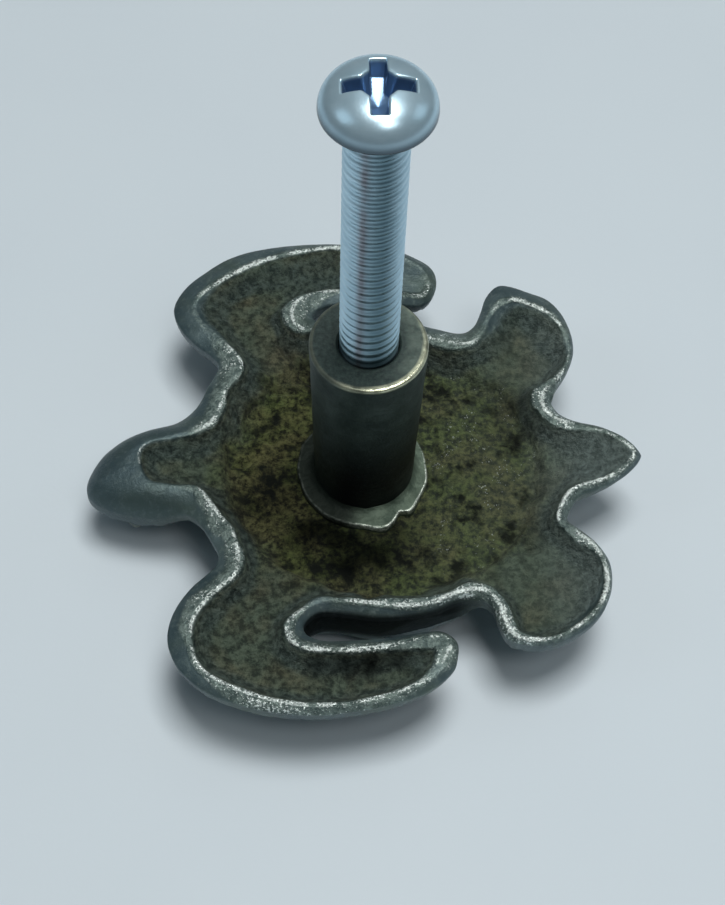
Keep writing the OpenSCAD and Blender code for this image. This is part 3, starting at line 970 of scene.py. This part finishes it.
def make_collar():
    low, high = node_box("braze_collar")
    reach, floor, height = high[0], low[2], high[2] - low[2]
    inner = node_box("threaded_post")[1][0] - 0.45
    around, edge_h, sunk = 160, 0.62, 0.25
    turn = 2 * np.pi * np.arange(around) / around
    circle = np.stack([np.cos(turn), np.sin(turn), 0 * turn], 1)
    outline = reach - 0.2 + 0.12 * layered_noise(circle * 5, 2.2, 3, 71)
    for degrees, extra, spread in PUDDLE_CORNERS:
        away = (np.degrees(turn) - degrees + 180) % 360 - 180
        outline = outline + extra * np.exp(-(away / spread) ** 2)
    # Rows from the outline in to the post: (share of the way out, height over the floor)
    lip = [(1.0, -sunk), (1.0, 0.15), (0.995, 0.32), (0.985, edge_h - 0.08), (0.965, edge_h - 0.01)]
    profile = list(lip)
    for t in np.linspace(0.05, 1, 16):
        profile.append((0.95 - 0.95 * t, edge_h + (height - edge_h) * t ** 3 + 0.04 * math.sin(5 * t)))
    rings = [ring_points(inner + share * (outline - inner), turn, floor + z) for share, z in profile]
    points = np.concatenate(rings)
    points[:, 2] += 0.07 * layered_noise(points, 1.4, 3, 77) * (points[:, 2] > floor + 0.3)
    # One more ring, sunk in the post, closes the puddle's underside
    rows = len(profile)
    points = np.concatenate([points, ring_points(inner - 0.2, turn, floor - sunk)])
    j = np.arange(around)
    seam = np.stack([rows * around + j, rows * around + (j + 1) % around, (j + 1) % around, j], 1)
    faces = np.concatenate([ring_faces(rows + 1, around), seam])
    obj = new_mesh("braze_puddle", points, faces, "knob", braze_material())
    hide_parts("braze_collar")
    on_lip = np.zeros(len(points))
    on_lip[2 * around:(len(lip) + 1) * around] = 1
    angle = np.arctan2(points[:, 1], points[:, 0])
    # Painted highlight on the lip, brightest on one side
    paint(obj, "lip", on_lip * (0.1 + 0.9 * ramp(0.4, 0.8, np.cos(angle + 0.75))))
    # Painted shade over one side of the puddle
    paint(obj, "dark", ramp(0.25, -0.25, np.cos(angle + 0.15)))


def head_skin(points, head_r, head_h):
    """How far points are outside the pan head's plain dome, with z measured up from its underside."""
    x, y, z = points.T
    edge_h = 0.15 * head_h
    up = np.maximum(0, z - edge_h) / (head_h - edge_h)
    under = np.maximum(0, edge_h - z) / edge_h
    return (((np.hypot(x, y) / head_r) ** 2.3 + up ** 2.3) ** (1 / 2.3) - 1) * 2.2 + 0.25 * under ** 2


def head_value(head_r, head_h):
    """The pan head with its cross recess."""
    wing, wing_w, middle, depth = 2.15, 0.5, 1.05, 2.0

    def value(points):
        x, y, z = points.T
        rho = np.hypot(x, y)
        body = blend_max(head_skin(points, head_r, head_h), -z, 0.12)
        sunk = np.clip((head_h - z) / depth, 0, 1)
        long, wide = wing * (1 - 0.30 * sunk), wing_w * (1 - 0.28 * sunk)
        arm_x = np.maximum(np.abs(x) - long, np.abs(y) - wide)
        arm_y = np.maximum(np.abs(y) - long, np.abs(x) - wide)
        core = rho - middle * (1 - 0.35 * sunk)
        cross = blend_min(blend_min(arm_x, arm_y, 0.15), core, 0.15)
        cross = np.maximum(cross, head_h - depth + 0.35 * rho - z)
        return blend_max(body, -cross, 0.14)

    return value


def thread_mesh(tip_z):
    """Points and faces of the screw's thread, in rows that follow its helix from the tip up."""
    around, per_turn = 72, 14
    rows = per_turn * (int(SCREW_LENGTH / PITCH) + 4)
    i = np.arange(rows) - per_turn
    j = np.arange(around)
    rise = i[:, None] / per_turn + j[None, :] / around
    z = np.clip(rise * PITCH, 0, SCREW_LENGTH + 0.3)
    runout = ramp(SCREW_LENGTH - 0.3, SCREW_LENGTH - 1.1, z)
    radius = THREAD_R - THREAD_DEPTH * (1 - thread_shape(i / per_turn)[:, None] * runout)
    radius = np.where(z > SCREW_LENGTH - 1.0, np.minimum(radius, THREAD_R - 0.1), radius)
    radius = np.minimum(radius, THREAD_R - TIP_BEVEL + z * TIP_SLOPE)
    points = ring_points(radius, 2 * np.pi * j / around, tip_z + z)
    # A row's end at 360 degrees stands where the row one turn on begins
    c = np.arange(rows - 1 - per_turn) * around
    after = c + per_turn * around
    seam = np.stack([c + around - 1, after, after + around, c + 2 * around - 1], 1)
    return points, np.concatenate([grid_faces(rows, around), seam])


def make_screw():
    low, high = node_box("mounting_screw")
    seat, head_r = low[2] + SCREW_LENGTH, high[0]
    head_h = high[2] - seat + CROWN_LOSS
    value = head_value(head_r, head_h)
    head, quads = surface_net(value, (-3.6, -3.6, -0.3), (3.6, 3.6, head_h + 0.3), HEAD_STEP)
    head = settle(value, head, quads, HEAD_STEP) + (0, 0, seat)
    thread, faces = thread_mesh(low[2])
    points = np.concatenate([head, thread])
    faces = np.concatenate([quads, faces + len(head)])
    obj = new_mesh("screw_zinc", points, faces, "screw", zinc_material())
    close_thread(obj)
    paint_screw(obj, seat, head_r, head_h)
    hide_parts("mounting_screw")


def paint_screw(obj, seat, head_r, head_h):
    """The shank's painted reflection stripes, one warm and one dark, and the head's painted shade in its
    recess and at its low edge.
    """
    place = np.empty(3 * len(obj.data.vertices), np.float32)
    obj.data.vertices.foreach_get("co", place)
    place = place.reshape(-1, 3) / MM
    rho = np.hypot(place[:, 0], place[:, 1])
    angle = np.degrees(np.arctan2(place[:, 1], place[:, 0]))
    on_shank = ramp(seat, seat - 0.5, place[:, 2])
    on_head = 1 - on_shank
    sunk = -head_skin(place - (0, 0, seat), head_r, head_h)
    low_edge_shade = ramp(1.2, 0.4, place[:, 2] - seat) * ramp(-0.3, 0.3, rho - head_r + 0.6)
    paint(obj, "shank", on_shank)
    # Painted reflection stripes down one side of the shank: one warm, one dark
    paint(obj, "warm_reflection", on_shank * np.exp(-((angle + 112) / 9) ** 2))
    paint(obj, "dimmed", on_shank * np.exp(-((angle + 76) / 32) ** 2))
    # Painted shade in the recess and at the head's low edge
    paint(obj, "recess", on_head * ramp(0.12, 0.3, sunk))
    paint(obj, "low", on_head * low_edge_shade)


def close_thread(obj):
    """Joins the thread's doubled points and closes its tip and its end in the head."""
    mesh = bmesh.new()
    mesh.from_mesh(obj.data)
    bmesh.ops.remove_doubles(mesh, verts=mesh.verts, dist=0.002 * MM)
    bmesh.ops.dissolve_degenerate(mesh, edges=mesh.edges, dist=0.001 * MM)
    open_edges = [e for e in mesh.edges if e.is_boundary]
    bmesh.ops.holes_fill(mesh, edges=open_edges, sides=0)
    bmesh.ops.recalc_face_normals(mesh, faces=mesh.faces)
    mesh.to_mesh(obj.data)
    mesh.free()


# ---- table, lights and camera

def make_table(floor_z):
    size, count = 400, 41
    axis = np.linspace(-size, size, count)
    x, y = np.meshgrid(axis, axis)
    points = np.stack([x.ravel(), y.ravel(), np.full(x.size, floor_z)], 1)
    mesh = bpy.data.meshes.new("table_top")
    mesh.from_pydata((points * MM).tolist(), [], grid_faces(count, count).tolist())
    mesh.materials.append(table_material())
    obj = add_object("table_top", mesh)


LIGHT_DISTANCE = 420
WARM = (1.0, 0.99, 0.97)
COOL = (0.80, 0.93, 1.0)
# Soft square lights that face the origin: (name, direction, size, power, colour)
LIGHTS = [
    ("key_light", (0.10, 0.06, 1.0), 170, 1.32, WARM),
    ("front_light", (0.22, -0.38, 0.90), 115, 0.22, WARM),
    ("back_light", (0.10, 0.75, 0.95), 280, 0.06, (0.85, 0.95, 1.0)),
    ("left_light", (-0.95, -0.12, 0.85), 190, 0.09, COOL),
    ("right_light", (0.95, 0.12, 0.62), 170, 0.06, COOL),
]


def make_lights():
    for name, direction, size, power, color in LIGHTS:
        data = bpy.data.lights.new(name, "AREA")
        data.shape = "SQUARE"
        data.size = size * MM
        data.energy = power
        data.color = color
        obj = add_object(name, data)
        place = Vector(direction).normalized() * LIGHT_DISTANCE * MM
        obj.location = place
        obj.rotation_euler = place.to_track_quat("Z", "Y").to_euler()
    world = bpy.data.worlds.new("pale_room")
    world.use_nodes = True
    sky = world.node_tree.nodes["Background"]
    sky.inputs["Color"].default_value = (0.70, 0.86, 0.92, 1)
    sky.inputs["Strength"].default_value = 0.07
    bpy.context.scene.world = world


def make_camera(rim_z):
    """The photograph's view: nearly from the side of the turtle, and steeply down."""
    azimuth, elevation, roll = (math.radians(v) for v in (3.57, 57.53, 2.19))
    distance, aim_right, aim_up = 123.9, 0.13, -0.24
    forward = Vector((math.sin(azimuth) * math.cos(elevation), math.cos(azimuth) * math.cos(elevation),
                      -math.sin(elevation)))
    level = Vector((math.cos(azimuth), -math.sin(azimuth), 0))
    upright = level.cross(forward)
    right = math.cos(roll) * level + math.sin(roll) * upright
    up = -math.sin(roll) * level + math.cos(roll) * upright
    place = Vector((0, 0, rim_z)) - distance * forward - aim_right * right - aim_up * up
    data = bpy.data.cameras.new("photo_camera")
    data.lens = 69.06
    data.clip_start, data.clip_end = 0.001, 10
    obj = add_object("photo_camera", data)
    turn = Matrix((right, up, -forward)).transposed().to_4x4()
    obj.matrix_world = Matrix.Translation(place * MM) @ turn
    bpy.context.scene.camera = obj


bpy.context.scene.view_settings.view_transform = "Standard"
rim_z = node_box("turtle_casting")[1][2]
make_casting(rim_z)
make_camera(rim_z)
make_post(rim_z)
make_collar()
make_screw()
make_table(node_box("turtle_casting")[0][2] - TABLE_GAP)
make_lights()
